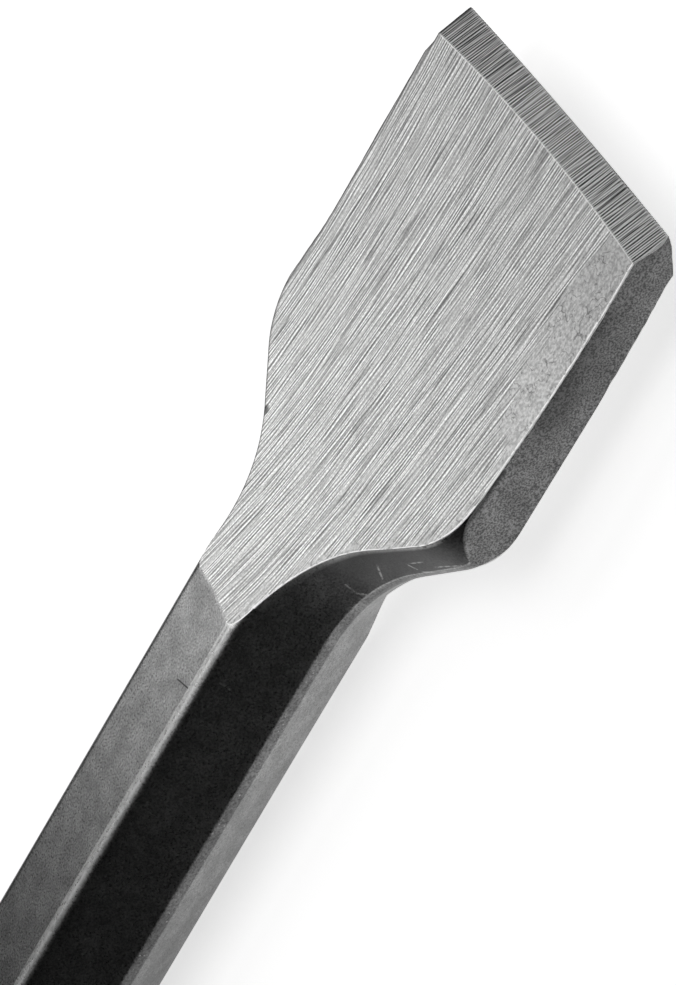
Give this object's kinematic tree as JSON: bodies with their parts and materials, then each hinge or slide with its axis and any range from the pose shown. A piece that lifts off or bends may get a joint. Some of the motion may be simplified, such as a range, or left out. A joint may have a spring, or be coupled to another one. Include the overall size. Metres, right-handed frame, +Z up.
{
  "type": "flat chisel",
  "caption": "Flat chisel for a rotary hammer: hexagonal bar with a grooved round drive shank, flared forged shoulders and a wide hollow-ground blade with a double-bevel cutting edge.",
  "frame": {"origin": "on the bar's lower flat, under the middle of the bounding box", "axes": "+X along the tool from the drive end to the cutting edge, +Z up through the bar's upper flat, +Y across the blade to the left when looking along +X"},
  "size_m": [0.3, 0.0508, 0.02],
  "materials": {
    "tool_steel": "dark heat-treated bar with ground bright blade"
  },
  "bodies": {
    "root": {"flat_chisel": "tool_steel"}
  },
  "joints": []
}
